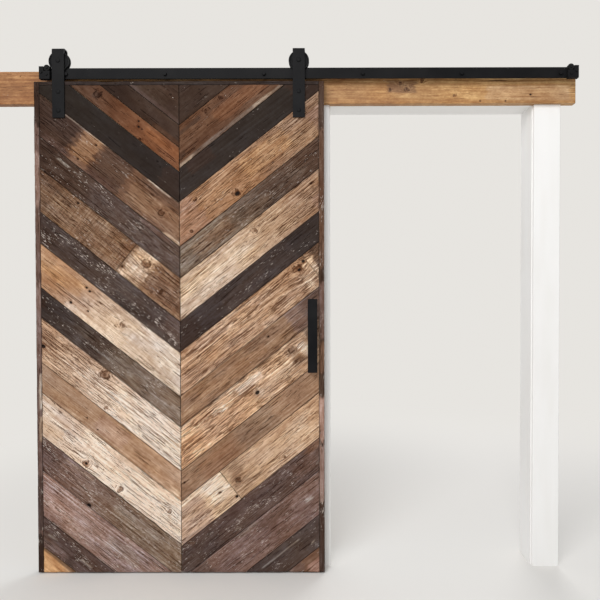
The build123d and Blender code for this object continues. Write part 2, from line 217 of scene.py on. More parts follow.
def white_paint(name, axis):
    """Satin paint with the faint ridges that a brush leaves along a board, and thinner patches."""
    made, tree = new_material(name)
    place = place_on_piece(tree)
    ridges = streaks(tree, place, brush_length, brush_width, 2, 3, axis)
    patches = streaks(tree, place, 0.5, 0.09, 3, 8, axis)
    colour = mix_colour(tree, rise(tree, patches, 0.35, 0.75), paint_white, paint_thin)
    surface(tree, colour, spread(tree, ridges, 0.38, 0.52), shine=0.35, height=ridges, relief=brush_relief)
    return made


def finish_node(name, material):
    """Gives a solid of the frame its finish."""
    for slot in nodes[name].material_slots:
        slot.material = material


upright_paint = white_paint("white paint on uprights", 2)
for name in ("jamb_left", "jamb_right", "casing_left", "casing_right"):
    finish_node(name, upright_paint)
finish_node("jamb_head", white_paint("white paint on head", 0))


# The header board: one long tan softwood board on the casing, sanded and sealed, with small dark
# knots and darker stretches, and a band of painted shade along its top where the rail and the door
# shade it. It is the first of the wooden boards, so what all the boards share is made here: their
# stains, their worn faces and their grain.
stains = {
    "soot": (52, 44, 39), "tar": (56, 47, 43), "mahogany": (69, 51, 43), "walnut": (75, 57, 47),
    "bark": (86, 65, 54), "plum": (94, 74, 67), "charcoal": (78, 65, 61), "slate": (96, 79, 72),
    "umber": (110, 81, 64), "driftwood": (124, 104, 89), "heather": (122, 96, 87), "ash": (142, 122, 108),
    "chestnut": (112, 78, 58), "russet": (134, 88, 61), "amber": (158, 102, 66), "copper": (166, 126, 95),
    "tan": (150, 117, 93), "oak": (172, 138, 112), "honey": (190, 155, 126), "straw": (210, 180, 152),
    "bleached": (221, 198, 179), "cream": (233, 212, 193), "gold": (196, 151, 108), "fawn": (134, 104, 82),
    "silver": (168, 154, 142), "rose": (164, 130, 116), "mulberry": (152, 124, 114),
    "header": (192, 145, 94), "header shade": (152, 102, 62),
}
face_step_along = 0.0036
face_step_across = 0.0026
edge_step = 0.001
arris_depth = 0.003
tip_height = 0.002
weld = 1e-6
# How far off the nearest knot, hole or crack counts where there is none, in its own sizes
far_away = 4
palest = 0.86


def linear(red, green, blue):
    """A colour as it is seen on a screen, from 0 to 255, as the light that it stands for."""
    shares = np.array([red, green, blue]) / 255
    return np.where(shares <= 0.04045, shares / 12.92, ((shares + 0.055) / 1.055) ** 2.4)


def spots(u, v, length, width, seed):
    """Smooth noise from 0 to 1, in spots of this length along the grain and width across it."""
    x, y = u / length, v / width
    column, row = np.floor(x).astype(np.int64), np.floor(y).astype(np.int64)
    x, y = x - column, y - row
    x, y = x * x * (3 - 2 * x), y * y * (3 - 2 * y)

    def corner(i, j):
        mixed = (i * 374761393 + j * 668265263 + seed * 974634777) & 0xFFFFFFFF
        mixed = ((mixed ^ (mixed >> 13)) * 1274126177) & 0xFFFFFFFF
        return ((mixed ^ (mixed >> 16)) & 0xFFFF) / 0xFFFF

    low = corner(column, row) * (1 - x) + corner(column + 1, row) * x
    high = corner(column, row + 1) * (1 - x) + corner(column + 1, row + 1) * x
    return low * (1 - y) + high * y


def ease(value):
    """From 0 to 1, smoothly, with what lies outside cut off."""
    value = np.clip(value, 0, 1)
    return value * value * (3 - 2 * value)


def worn_face(u, v, deep, edge, width, look, seed):
    """What age has made of a board, and the painted shade of its shade pair: how deep it is worn, how the
    grain bends, its stain and marks.
    """
    chance = np.random.default_rng(seed)
    rough = look.get("rough", 1)
    depth = rough * (0.0005 * spots(u, v, 0.30, 0.05, seed) + 0.0008 * spots(u, v, 0.14, 0.010, seed + 1))
    depth = depth + rough * 0.0004 * spots(u, v, 0.05, 0.007, seed + 2)
    depth = depth + 0.0010 * (1 - np.clip(edge / 0.003, 0, 1)) ** 2
    bites = np.clip((spots(u, v, 0.035, 0.02, seed + 3) - 0.68) / 0.12, 0, 1)
    depth = depth + 0.0025 * rough * bites * (1 - np.clip(edge / 0.006, 0, 1))

    # Growth rings, as the distance from the heart of the log that the board was sawn from
    heart_across = chance.uniform(-0.3, 1.3) * width
    heart_depth = chance.uniform(0.015, 0.07) + deep + chance.uniform(-0.07, 0.07) * u
    wander = 0.010 * spots(u, v, 0.22, 0.5, seed + 4)
    ring = np.hypot(v - heart_across + wander, heart_depth)

    def in_metres(marks):
        return np.array(marks).reshape(-1, 3) / 1000

    # Knots and holes, as the distance from the nearest one in its own radii
    bend = 0.004 * (spots(u, v, 0.17, 0.09, seed + 12) - 0.5)
    knot = np.full_like(u, far_away)
    for place_u, place_v, radius in in_metres(look.get("knots", [])):
        reach = np.hypot((u - place_u) / (2.8 * radius), (v - place_v) / (1.6 * radius))
        bend = bend - 0.85 * (v - place_v) * np.exp(-(reach**2))
        away = np.hypot((u - place_u) / (1.05 * radius), (v - place_v) / radius)
        knot = np.minimum(knot, away)
        ring = ring + 2.4 * radius * np.exp(-(away**2) / 2.4)
        depth = depth + 0.0010 * np.exp(-(((away - 1) / 0.25) ** 2)) - 0.0003 * np.exp(-(away**2))
    hole = np.full_like(u, far_away)
    holes = list(look.get("holes", []))
    for _ in range(look.get("nail_holes", 3)):
        along = chance.uniform(0.02, 0.9) * u.max() * 1000
        holes.append((along, chance.uniform(0.1, 0.9) * width * 1000, 2))
    for place_u, place_v, radius in in_metres(holes):
        away = np.hypot((u - place_u) / 1.3, v - place_v) / radius
        hole = np.minimum(hole, away)
        depth = depth + min(0.007, 2 * radius) * (1 - ease((away - 0.5) / 0.9))

    # Cracks, as the distance from the nearest one in half-widths of it
    crack = np.full_like(u, far_away)
    cracks = list(look.get("cracks", []))
    for _ in range(look.get("drying_cracks", 1)):
        begin = chance.uniform(0, 0.85) * u.max() * 1000
        cracks.append((begin, begin + chance.uniform(40, 120), chance.uniform(0.1, 0.9) * width * 1000))
    for begin, end, place_v in in_metres(cracks):
        share = np.clip((u - begin) / (end - begin), 0, 1)
        half_open = 0.0018 * np.sqrt(np.sin(math.pi * share)) + 1e-5
        middle = place_v + 0.005 * (spots(u, v * 0, 0.08, 1, seed + 5) - 0.5)
        away = np.abs(v - middle) / half_open
        crack = np.minimum(crack, away)
        depth = depth + 0.003 * np.exp(-(away**2))

    # The stain goes from one tone at the seam to another at the outer end, in clouds and patches
    inner_tone, outer_tone = (linear(*stains[name]) for name in look["stain"])
    share = ease((u - 0.06) / 0.66)[..., None]
    stain = inner_tone * (1 - share) + outer_tone * share
    ragged_u = u + 0.022 * (spots(u, v, 0.5, 0.007, seed + 6) - 0.5)
    ragged_u = ragged_u + 0.014 * (spots(u, v, 0.02, 0.01, seed + 7) - 0.5)
    ragged_v = v + 0.008 * (spots(u, v, 0.070, 0.010, seed + 7) - 0.5)
    for name, begin, end, upper, lower, *strength in look.get("patches", []):
        share = ease((ragged_u - begin / 1000) / 0.014) * ease((end / 1000 - ragged_u) / 0.014)
        share = share * ease((ragged_v - upper / 1000) / 0.008) * ease((lower / 1000 - ragged_v) / 0.008)
        share = (share * (strength or [1])[0])[..., None]
        stain = stain * (1 - share) + linear(*stains[name]) * share
    # The shade pair scales the stain from the seam to the outer end. It is partly the board's own tone and
    # partly painted shade, most of it near the top of the door and toward its outer edges.
    seam_shade, outer_shade = look.get("shade", (1, 1))
    stain = stain * (seam_shade + (outer_shade - seam_shade) * np.clip(u / 0.7, 0, 1))[..., None]
    mottle = look.get("mottle", 1)
    cloud = 0.44 * spots(u, v, 0.15, 0.060, seed + 8) + 0.40 * spots(u, v, 0.045, 0.022, seed + 9)
    cloud = cloud + 0.34 * spots(u, v, 0.017, 0.009, seed + 10) - 0.59
    stain = stain * np.exp(mottle * cloud[..., None] * np.array([0.75, 1.0, 1.2]))
    warmth = 0.14 * mottle * (spots(u, v, 0.10, 0.035, seed + 11) - 0.4)
    stain = stain * (1 + warmth[..., None] * np.array([0.5, 0, -1]))
    stain = stain / np.maximum(1, stain.max(-1, keepdims=True) / palest)

    finish = np.stack([np.full_like(u, look[name]) for name in ("figure", "slits", "flecks")], -1)
    form = np.stack([ring, knot, hole], -1)
    wear = np.stack([edge, crack, np.full_like(u, look.get("saw_marks", 0.3))], -1)
    return depth, bend, stain, finish, form, wear


def outlines(name):
    """The outline, seen from the room, of each solid of a board in the frame."""
    copy = bmesh.new()
    copy.from_mesh(nodes[name].data)
    bmesh.ops.remove_doubles(copy, verts=copy.verts, dist=weld)
    unseen = set(copy.verts)
    found = []
    while unseen:
        to_visit = [unseen.pop()]
        solid = list(to_visit)
        while to_visit:
            vertex = to_visit.pop()
            reached = {edge.other_vert(vertex) for edge in vertex.link_edges} & unseen
            unseen -= reached
            to_visit += reached
            solid += reached
        corners = sorted({(round(vertex.co.x, 6), round(vertex.co.z, 6)) for vertex in solid})
        found.append([Vector(corners[i]) for i in geometry.convex_hull_2d(corners)])
    copy.free()
    return sorted(found, key=lambda outline: min(corner.x for corner in outline))


def heights_at(outline, x):
    """Where an upright line at x enters and leaves an outline."""
    heights = []
    for a, b in zip(outline, outline[1:] + outline[:1]):
        if a.x != b.x and min(a.x, b.x) - weld <= x <= max(a.x, b.x) + weld:
            heights.append(a.y + (x - a.x) / (b.x - a.x) * (b.y - a.y))
    return min(heights), max(heights)


def steps(length, step):
    """Shares from 0 to 1 in even steps, with one short step at each end for the worn arris."""
    short = min(edge_step / length, 0.1)
    count = max(2, round(length / step))
    return np.concatenate([[0], np.linspace(short, 1 - short, count + 1), [1]])


def board_surface(outline, front, back, grain, side, start, width, look, seed):
    """The closed surface of one board, worn on its face: places, grain map, values and faces."""
    left = min(corner.x for corner in outline)
    right = max(corner.x for corner in outline)
    while np.ptp(heights_at(outline, left)) < tip_height:
        left += edge_step / 4
    while np.ptp(heights_at(outline, right)) < tip_height:
        right -= edge_step / 4
    step_x = face_step_along * abs(grain.x) + face_step_across * abs(grain.y)
    step_z = (face_step_along * grain.y**2 + face_step_across * grain.x**2) / max(abs(grain.x), abs(grain.y))
    x = left + (right - left) * steps(right - left, step_x)
    spans = np.array([heights_at(outline, value) for value in x])
    share = steps(np.ptp(spans, axis=1).max(), step_z)
    columns, rows = len(x), len(share)
    x = np.repeat(x[:, None], rows, axis=1)
    z = spans[:, :1] + (spans[:, 1:] - spans[:, :1]) * share

    # Going round the rim, as seen from the room: along the foot, up, back along the top, and down
    rim = [(i, 0) for i in range(columns)] + [(columns - 1, j) for j in range(1, rows)]
    rim += [(i, rows - 1) for i in range(columns - 2, -1, -1)] + [(0, j) for j in range(rows - 2, 0, -1)]
    rim = np.array(rim)
    top_right = columns + rows - 2
    top_left = top_right + columns - 1
    outward = np.zeros((len(rim), 2))
    outward[: columns - 1, 1] = -1
    outward[columns - 1 : top_right, 0] = 1
    outward[top_right:top_left, 1] = 1
    outward[top_left:, 0] = -1
    i, j = rim.T
    ragged = 0.0006 * spots(x[i, j], z[i, j], 0.013, 0.013, seed)
    x[i, j] -= outward[:, 0] * ragged
    z[i, j] -= outward[:, 1] * ragged

    # The face: how far each place is along and across the board, and from the nearest edge
    u = (x - start.x) * grain.x + (z - start.y) * grain.y
    v = (x - start.x) * side.x + (z - start.y) * side.y
    edge = np.full_like(x, 1.0)
    for a, b in zip(outline, outline[1:] + outline[:1]):
        across = Vector((a.y - b.y, b.x - a.x)).normalized()
        edge = np.minimum(edge, np.abs((x - a.x) * across.x + (z - a.y) * across.y))
    depth, bend, *parts = worn_face(u, v, 0 * u, edge, width, look, seed)
    places = [np.stack([x, front + depth, z], -1).reshape(-1, 3)]
    maps = [np.stack([u, v + bend], -1).reshape(-1, 2)]
    values = [[part.reshape(-1, 3)] for part in parts]

    # The sides, at three depths, with a grain map that runs on round the arris
    rim_outward = np.stack([outward @ np.array(grain), outward @ np.array(side)], -1)
    main = np.abs(rim_outward[:, 0]) > np.abs(rim_outward[:, 1])
    rim_outward[main, 1] = 0
    rim_outward[~main, 0] = 0
    rim_outward = np.sign(rim_outward)
    for level in (front + arris_depth, (front + back) / 2, back):
        deep = level - front
        rim_u, rim_v = u[i, j] + rim_outward[:, 0] * deep, v[i, j] + rim_outward[:, 1] * deep
        _, bend, *parts = worn_face(u[i, j], v[i, j], deep + 0 * rim_u, deep + 0 * rim_u, width, look, seed)
        places.append(np.stack([x[i, j], np.full(len(rim), level), z[i, j]], -1))
        maps.append(np.stack([rim_u, rim_v + bend], -1))
        for kept, part in zip(values, parts):
            kept.append(part)

    number = np.arange(columns * rows).reshape(columns, rows)
    quads = np.stack([number[:-1, :-1], number[1:, :-1], number[1:, 1:], number[:-1, 1:]], -1).reshape(-1, 4)
    faces = quads.tolist()
    front_count = len(faces)
    ring = number[i, j]
    first = columns * rows
    for _ in range(3):
        deeper = first + np.arange(len(rim))
        faces += np.stack([ring, deeper, np.roll(deeper, -1), np.roll(ring, -1)], -1).tolist()
        ring = deeper
        first += len(rim)
    foot = ring[:columns]
    top = ring[top_right : top_left + 1][::-1]
    left_side = np.concatenate([ring[:1], ring[top_left:][::-1]])
    right_side = ring[columns - 1 : top_right + 1]
    faces += [[foot[n + 1], foot[n], top[n], top[n + 1]] for n in range(1, columns - 2)]
    faces.append([foot[1], *left_side, top[1]])
    faces.append([foot[-2], top[-2], *right_side[::-1]])
    values = [np.concatenate(kept) for kept in values]
    return np.concatenate(places), np.concatenate(maps), values, faces, front_count


def placed(mesh, node, ending, material, body):
    """A finished mesh as the piece that stands for a solid of the frame, on the body that carries it."""
    mesh.materials.clear()
    mesh.materials.append(material)
    piece = bpy.data.objects.new(f"{node}_{ending}", mesh)
    bpy.context.scene.collection.objects.link(piece)
    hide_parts(node)
    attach(piece, body)
    return piece


def board_piece(node, grain, side, start, width, look, material, body, seed):
    """A worn wooden board in the place of a board of the frame."""
    low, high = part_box(node)
    grain, side = Vector(grain), Vector(side)
    front = low.y + look.get("set_back", 0)
    made = [
        board_surface(outline, front, high.y, grain, side, start, width, look, seed + 40 * n)
        for n, outline in enumerate(outlines(node))
    ]
    faces = []
    smooth = []
    count = 0
    for places, _, _, part_faces, front_count in made:
        faces += [[int(vertex + count) for vertex in face] for face in part_faces]
        smooth += [n < front_count for n in range(len(part_faces))]
        count += len(places)
    mesh = bpy.data.meshes.new(f"{node}_board")
    mesh.from_pydata(np.concatenate([part[0] for part in made]), [], faces)
    mesh.polygons.foreach_set("use_smooth", smooth)
    corners = np.empty(len(mesh.loops), np.int32)
    mesh.loops.foreach_get("vertex_index", corners)
    # Each board has its own piece of the grain's pattern, so that no two are alike
    grain_map = mesh.uv_layers.new(name="grain")
    moved = [part[1] + (1.37 * (seed + 5 * n) % 11, 0.83 * (seed + 5 * n) % 7) for n, part in enumerate(made)]
    grain_map.uv.foreach_set("vector", np.concatenate(moved)[corners].ravel())
    stain, *values = (np.concatenate([part[2][n] for part in made]) for n in range(4))
    stain = np.concatenate([stain, np.ones((len(stain), 1))], 1)
    mesh.attributes.new("stain", "FLOAT_COLOR", "POINT").data.foreach_set("color", stain.ravel())
    for name, value in zip(("finish", "form", "wear"), values):
        mesh.attributes.new(name, "FLOAT_VECTOR", "POINT").data.foreach_set("vector", value.ravel())
    placed(mesh, node, "board", material, body)


def wood(name, roughness, shine, relief, grime):
    """Wood whose grain follows the rings and knots of each board, with its slits, a painted highlight under
    each, flecks and dirt.
    """
    made, tree = new_material(name)
    grain = add_node(tree, "ShaderNodeUVMap", {"uv_map": "grain"}).outputs[0]

    def board_values(attribute):
        values = add_node(tree, "ShaderNodeAttribute", {"attribute_name": attribute}).outputs["Vector"]
        return add_node(tree, "ShaderNodeSeparateXYZ", inputs={0: values}).outputs

    def times(value, share):
        return calculate(tree, "MULTIPLY", value, share)

    def added(value, share, rest):
        return calculate(tree, "MULTIPLY_ADD", value, share, rest)

    def centred(value):
        return calculate(tree, "SUBTRACT", value, 0.5)

    def fall(value, low, high):
        return calculate(tree, "SUBTRACT", 1, rise(tree, value, low, high))

    def stained(red, green, blue):
        return mix_colour(tree, 1, stain, (red, green, blue, 1), "MULTIPLY")

    def covered(colour, share, strength, second):
        return mix_colour(tree, times(share, strength), colour, second)

    # Each board's stain carries the painted shade of its shade pair, and on the header that of its walnut
    # band
    stain = add_node(tree, "ShaderNodeAttribute", {"attribute_name": "stain"}).outputs["Color"]
    contrast, slit_share, fleck_share = board_values("finish")
    ring, knot, hole = board_values("form")
    edge, crack, saw_share = board_values("wear")

    # The figure of the grain: growth rings, long bands, short fibres and the saw's marks across
    ring_sizes = {"W": times(ring, 130), "Scale": 1, "Detail": 4, "Roughness": 0.65}
    rings = add_node(tree, "ShaderNodeTexNoise", {"noise_dimensions": "1D"}, ring_sizes).outputs["Fac"]
    bands = streaks(tree, grain, 0.18, 0.011, 4, 11)
    fibres = streaks(tree, grain, 0.090, 0.0036, 3, 31)
    clouds = streaks(tree, grain, 0.026, 0.012, 3, 37)
    speckle = streaks(tree, grain, 0.010, 0.0055, 1, 43)
    sawn = streaks(tree, grain, 0.09, 0.0075, 2, 41, axis=1)
    figure = times(centred(sawn), saw_share)
    for layer, strength in ((rings, 2.6), (bands, 1.5), (fibres, 2.0), (clouds, 1.0), (speckle, 1.2)):
        figure = added(centred(layer), times(contrast, strength), figure)
    power = add_node(tree, "ShaderNodeCombineXYZ", inputs={0: figure, 1: figure, 2: figure}).outputs[0]
    tint = {0: (2.2, 3.0, 3.8), 1: power}
    tone = add_node(tree, "ShaderNodeVectorMath", {"operation": "POWER"}, tint).outputs[0]
    colour = mix_colour(tree, 1, stain, tone, "MULTIPLY")

    # Slits that have opened along the grain in groups, dark inside, with a painted highlight along their
    # lower lip
    slit_groups = centred(streaks(tree, grain, 0.16, 0.030, 1, 73))

    def slits_at(place):
        long_slits = streaks(tree, place, 0.16, 0.0031, 1, 47)
        short_slits = streaks(tree, place, 0.055, 0.0031, 1, 53)
        ticks = calculate(tree, "ADD", streaks(tree, place, 0.014, 0.0036, 1, 59), -0.05)
        level = calculate(tree, "MAXIMUM", calculate(tree, "MAXIMUM", long_slits, short_slits), ticks)
        return rise(tree, added(slit_share, 0.20, added(slit_groups, 0.24, level)), 0.752, 0.778)

    highlight_shift = {0: grain, 1: (0, 0.0038, 0)}
    below = add_node(tree, "ShaderNodeVectorMath", {"operation": "SUBTRACT"}, highlight_shift).outputs[0]
    slits = slits_at(grain)
    # A pale copy of each slit a little below it is a painted highlight, as if light caught its lower lip
    colour = covered(colour, slits_at(below), 0.35, stained(1.4, 1.5, 1.5))
    colour = covered(colour, slits, 0.9, stained(0.20, 0.12, 0.085))
    limit = {0: colour, 1: (0.88, 0.77, 0.67)}
    colour = add_node(tree, "ShaderNodeVectorMath", {"operation": "MINIMUM"}, limit).outputs[0]

    # Pale flecks where the surface has broken, in loose groups
    fleck_groups = centred(streaks(tree, grain, 0.10, 0.045, 2, 67))
    fleck_level = added(fleck_share, 0.22, streaks(tree, grain, 0.020, 0.0024, 1, 61))
    flecks = rise(tree, added(fleck_groups, 0.55, fleck_level), 0.82, 0.86)
    colour = covered(colour, flecks, 0.9, (0.62, 0.54, 0.48, 1))

    # Knots, with a pale halo, a broken dark rim, a ring outside it and a dark heart
    ragged = clouds_at(tree, grain, 75, 3)
    broken = clouds_at(tree, grain, 60, 1)
    rough_edge = times(centred(ragged), 2.2)
    knot_away = calculate(tree, "ADD", knot, rough_edge)

    def ring_between(begin, full, wane, end):
        return times(rise(tree, knot_away, begin, full), fall(knot_away, wane, end))

    colour = covered(colour, ring_between(0.95, 1.2, 1.3, 1.9), 0.35, stained(1.25, 1.28, 1.28))
    unevenness = {"Value": broken, "From Min": 0.35, "From Max": 0.65, "To Min": 0.35}
    uneven = add_node(tree, "ShaderNodeMapRange", inputs=unevenness).outputs[0]
    colour = covered(colour, times(fall(knot_away, 0.7, 1.05), uneven), 0.75, stained(0.42, 0.29, 0.21))
    rim = times(ring_between(0.50, 0.80, 0.95, 1.3), rise(tree, broken, 0.40, 0.54))
    colour = covered(colour, rim, 0.9, stained(0.17, 0.11, 0.08))
    swirl = times(ring_between(1.45, 1.60, 1.70, 1.9), rise(tree, ragged, 0.50, 0.56))
    colour = covered(colour, swirl, 0.7, stained(0.30, 0.20, 0.15))
    colour = covered(colour, fall(knot_away, 0.1, 0.7), 0.8, stained(0.22, 0.14, 0.10))

    # Holes, cracks, chips along the edges, and the dirt that gathers between the boards
    soot = (0.012, 0.009, 0.008, 1)
    colour = covered(colour, fall(hole, 0.8, 2.4), 0.45, stained(0.45, 0.30, 0.22))
    colour = covered(colour, fall(hole, 0.7, 1.1), 0.95, soot)
    crack_away = calculate(tree, "ADD", crack, times(rough_edge, 0.8))
    colour = covered(colour, fall(crack_away, 0.5, 1.5), 0.9, stained(0.20, 0.11, 0.07))
    chips = times(rise(tree, streaks(tree, grain, 0.055, 0.020, 2, 71), 0.50, 0.72), fall(edge, 0.001, 0.005))
    colour = covered(colour, chips, 0.6, stained(1.9, 1.9, 1.9))
    colour = covered(colour, fall(added(clouds, -0.005, edge), -0.0025, 0.0004), grime, soot)

    height = times(rings, 0.4)
    for layer, strength in ((bands, 0.5), (fibres, 0.7), (clouds, 0.35), (slits, -1.5), (flecks, 0.25)):
        height = added(layer, strength, height)
    surface(tree, colour, added(centred(fibres), 0.35, roughness), shine, height, relief)
    return made


def straight_board(node, upright, look, material, body, seed):
    """A board whose grain runs up from its foot, or level from its left end."""
    low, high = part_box(node)
    if upright:
        grain, side, start, width = (0, 1), (1, 0), (low.x, low.z), high.x - low.x
    else:
        grain, side, start, width = (1, 0), (0, -1), (low.x, high.z), high.z - low.z
    board_piece(node, grain, side, Vector(start), width, look, material, body, seed)


# A look names the stain at both ends of a board and how far each is darkened, how strong the grain's
# figure, its slits and flecks are, and how rough and mottled it is. That darkening, the shade pair, is
# partly the board's own tone and partly painted shade, most of it near the top of the door and toward
# its outer edges. Marks are in millimetres along and across the board: knots and holes with their
# radius, cracks with their two ends and place, and patches of another stain with their limits along,
# their limits across and their strength.
header_look = dict(
    stain=("header", "header"), shade=(0.85, 0.85), figure=0.52, slits=0.15, flecks=0, rough=0.4,
    mottle=0.9, saw_marks=0, nail_holes=3, drying_cracks=1,
    knots=[(1742, 80, 7), (1784, 55, 9), (1815, 78, 11), (1880, 42, 9), (2022, 106, 7)],
    holes=[(2348, 102, 4), (2131, 129, 3), (2240, 129, 3), (1800, 60, 2)],
    patches=[
        ("header shade", -20, 300, -9, 160, 0.85), ("header shade", -20, 300, 96, 160, 0.8),
        ("header shade", 1460, 1800, -9, 160, 0.35), ("chestnut", 1722, 1862, 34, 100, 0.62),
        # The walnut band along the top, from 240 to 1440, is painted shade where the rail and the door shade
        # the header
        ("straw", 2150, 2520, 60, 130, 0.25), ("walnut", 240, 1440, -9, 40, 0.7),
    ],
)
sealed_wood = wood("sealed softwood", roughness=0.55, shine=0.3, relief=0.0002, grime=0.15)
straight_board("header_board", False, header_look, sealed_wood, "frame", seed=5)


# The track's steel: flat bar, turned spacers and blocks, all powder-coated matte black. The coat
# rounds every edge a little, so each piece is the frame's solid with its edges softened.
coat_black = (0.0070, 0.0070, 0.0078, 1)
coat_grey = (0.0125, 0.0123, 0.0130, 1)
coat_grain = 1400
coat_relief = 0.00005
sharpest = math.radians(30)
flattest = math.radians(0.5)


def powder_coat():
    """Matte black powder coat, with its fine orange-peel grain and slow changes of gloss."""
    made, tree = new_material("black powder coat")
    place = place_on_piece(tree)
    cloud = clouds_at(tree, place, 9, 4)
    colour = mix_colour(tree, rise(tree, cloud, 0.35, 0.75), coat_black, coat_grey)
    peel = clouds_at(tree, place, coat_grain, 1)
    surface(tree, colour, spread(tree, cloud, 0.42, 0.58), shine=0.06, height=peel, relief=coat_relief)
    return made


black_coat = powder_coat()


def smooth(work, node, ending, material, body, slot):
    """Places what has been worked, shaded smooth up to its sharp edges."""
    mesh = bpy.data.meshes.new(f"{node}_{ending}")
    work.to_mesh(mesh)
    work.free()
    mesh.polygons.foreach_set("use_smooth", [True] * len(mesh.polygons))
    mesh.set_sharp_from_angle(angle=sharpest)
    return placed(mesh, node, ending, material, body)


def softened(node, width, body, material=black_coat, slot="black_steel", segments=2):
    """A copy of a solid of the frame with its sharp edges rounded to this width."""
    copy = bmesh.new()
    copy.from_mesh(nodes[node].data)
    bmesh.ops.remove_doubles(copy, verts=copy.verts, dist=weld)
    bmesh.ops.dissolve_limit(copy, angle_limit=flattest, verts=copy.verts, edges=copy.edges)
    piece = smooth(copy, node, "soft", material, body, slot)
    rounding = piece.modifiers.new("rounded edges", "BEVEL")
    rounding.width = width
    rounding.segments = segments
    rounding.limit_method = "ANGLE"
    rounding.angle_limit = sharpest
    rounding.harden_normals = True


def node_group(name, numbers):
    """A geometry node tree that takes a profile, these named numbers and a material."""
    tree = bpy.data.node_groups.new(name, "GeometryNodeTree")
    sockets = {"Profile": "Geometry", **numbers, "Material": "Material"}
    for socket, kind in sockets.items():
        tree.interface.new_socket(socket, in_out="INPUT", socket_type=f"NodeSocket{kind}")
    tree.interface.new_socket("Pieces", in_out="OUTPUT", socket_type="NodeSocketGeometry")
    return tree, add_node(tree, "NodeGroupInput").outputs


def in_rows(tree, given, piece):
    """Sets a piece at every place of its rows, and ends the tree."""
    def made(kind, inputs):
        return add_node(tree, kind, inputs=inputs).outputs[0]

    along = made("ShaderNodeCombineXYZ", {"X": given["Pitch along"]})
    up = made("ShaderNodeCombineXYZ", {"Z": given["Pitch up"]})
    row = made("GeometryNodeMeshLine", {
        "Count": given["Count along"], "Start Location": given["First place"], "Offset": along,
    })
    column = made("GeometryNodeMeshLine", {"Count": given["Count up"], "Offset": up})
    columns = made("GeometryNodeInstanceOnPoints", {"Points": row, "Instance": column})
    places = made("GeometryNodeRealizeInstances", {"Geometry": columns})
    pieces = made("GeometryNodeInstanceOnPoints", {"Points": places, "Instance": piece})
    real = made("GeometryNodeRealizeInstances", {"Geometry": pieces})
    coated = made("GeometryNodeSetMaterial", {"Geometry": real, "Material": given["Material"]})
    add_node(tree, "NodeGroupOutput", inputs={0: coated})


row_numbers = {
    "Count along": "Int", "Pitch along": "Float", "Count up": "Int", "Pitch up": "Float",
    "First place": "Vector",
}

# Turned pieces: a profile along its axis, with a radius at each point, and as many sides as asked
turned_tree, given = node_group("turned pieces", {"Sides": "Int", **row_numbers})
axis = add_node(turned_tree, "GeometryNodeMeshToCurve", inputs={0: given["Profile"]}).outputs[0]
named = add_node(turned_tree, "GeometryNodeInputNamedAttribute", {"data_type": "FLOAT"}, {"Name": "radius"})
round_sizes = {"Resolution": given["Sides"], "Radius": 1.0}
circle = add_node(turned_tree, "GeometryNodeCurvePrimitiveCircle", inputs=round_sizes)
turned_piece = add_node(turned_tree, "GeometryNodeCurveToMesh", inputs={
    "Curve": axis, "Profile Curve": circle.outputs[0], "Scale": named.outputs[0], "Fill Caps": True,
}).outputs[0]
in_rows(turned_tree, given, turned_piece)

# A screw's thread: a ridge wound round its axis
thread_tree, given = node_group("threads", {
    "Turns": "Float", "Length": "Float", "Root radius": "Float", "Ridge": "Float", **row_numbers,
})
coil = add_node(thread_tree, "GeometryNodeCurveSpiral", inputs={
    "Resolution": 20, "Rotations": given["Turns"], "Start Radius": given["Root radius"],
    "End Radius": given["Root radius"], "Height": given["Length"],
}).outputs[0]
level = {"Geometry": coil, "Rotation": (math.radians(-90), 0, 0)}
coil = add_node(thread_tree, "GeometryNodeTransform", inputs=level).outputs[0]
ridge_sizes = {"Resolution": 3, "Radius": given["Ridge"]}
ridge = add_node(thread_tree, "GeometryNodeCurvePrimitiveCircle", inputs=ridge_sizes)
wound = add_node(thread_tree, "GeometryNodeCurveToMesh", inputs={
    "Curve": coil, "Profile Curve": ridge.outputs[0], "Fill Caps": True,
}).outputs[0]
in_rows(thread_tree, given, wound)


def rows_of(tree, profile, rows, **numbers):
    """The plain mesh that a tree makes of a profile of (depth, radius) points in millimetres."""
    places = [(0, depth / 1000, 0) for depth, _ in profile]
    line = bpy.data.meshes.new("profile")
    line.from_pydata(places, [(n, n + 1) for n in range(len(places) - 1)], [])
    radii = line.attributes.new("radius", "FLOAT", "POINT")
    radii.data.foreach_set("value", [radius / 1000 for _, radius in profile])
    holder = bpy.data.objects.new("holder", line)
    bpy.context.scene.collection.objects.link(holder)
    modifier = holder.modifiers.new("rows", "NODES")
    modifier.node_group = tree
    settings = {**rows, **numbers, "Material": black_coat}
    for item in tree.interface.items_tree:
        if item.in_out == "INPUT" and item.name in settings:
            modifier[item.identifier] = settings[item.name]
    holder.update_tag()
    graph = bpy.context.evaluated_depsgraph_get()
    made = bpy.data.meshes.new_from_object(holder.evaluated_get(graph))
    bpy.data.objects.remove(holder)
    bpy.data.meshes.remove(line)
    return made


def rows_in_box(node, radius, along, up):
    """The places of so many bolts along and up, this wide about their axes, that fill a node's box."""
    low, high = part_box(node)

    def first_and_pitch(begin, end, count):
        if count == 1:
            return (begin + end) / 2, 0.0
        return begin + radius, (end - begin - 2 * radius) / (count - 1)

    first_x, pitch_along = first_and_pitch(low.x, high.x, along)
    first_z, pitch_up = first_and_pitch(low.z, high.z, up)
    return {
        "Count along": along, "Pitch along": pitch_along, "Count up": up, "Pitch up": pitch_up,
        "First place": (first_x, 0, first_z),
    }


def fasteners(node, body, *meshes):
    """One piece of several meshes, in the place of the frame's bolts or screws."""
    joined = bmesh.new()
    for mesh in meshes:
        joined.from_mesh(mesh)
    bmesh.ops.recalc_face_normals(joined, faces=joined.faces)
    smooth(joined, node, "turned", black_coat, body, "black_steel")


softened("track_rail", width=0.0006, body="frame")

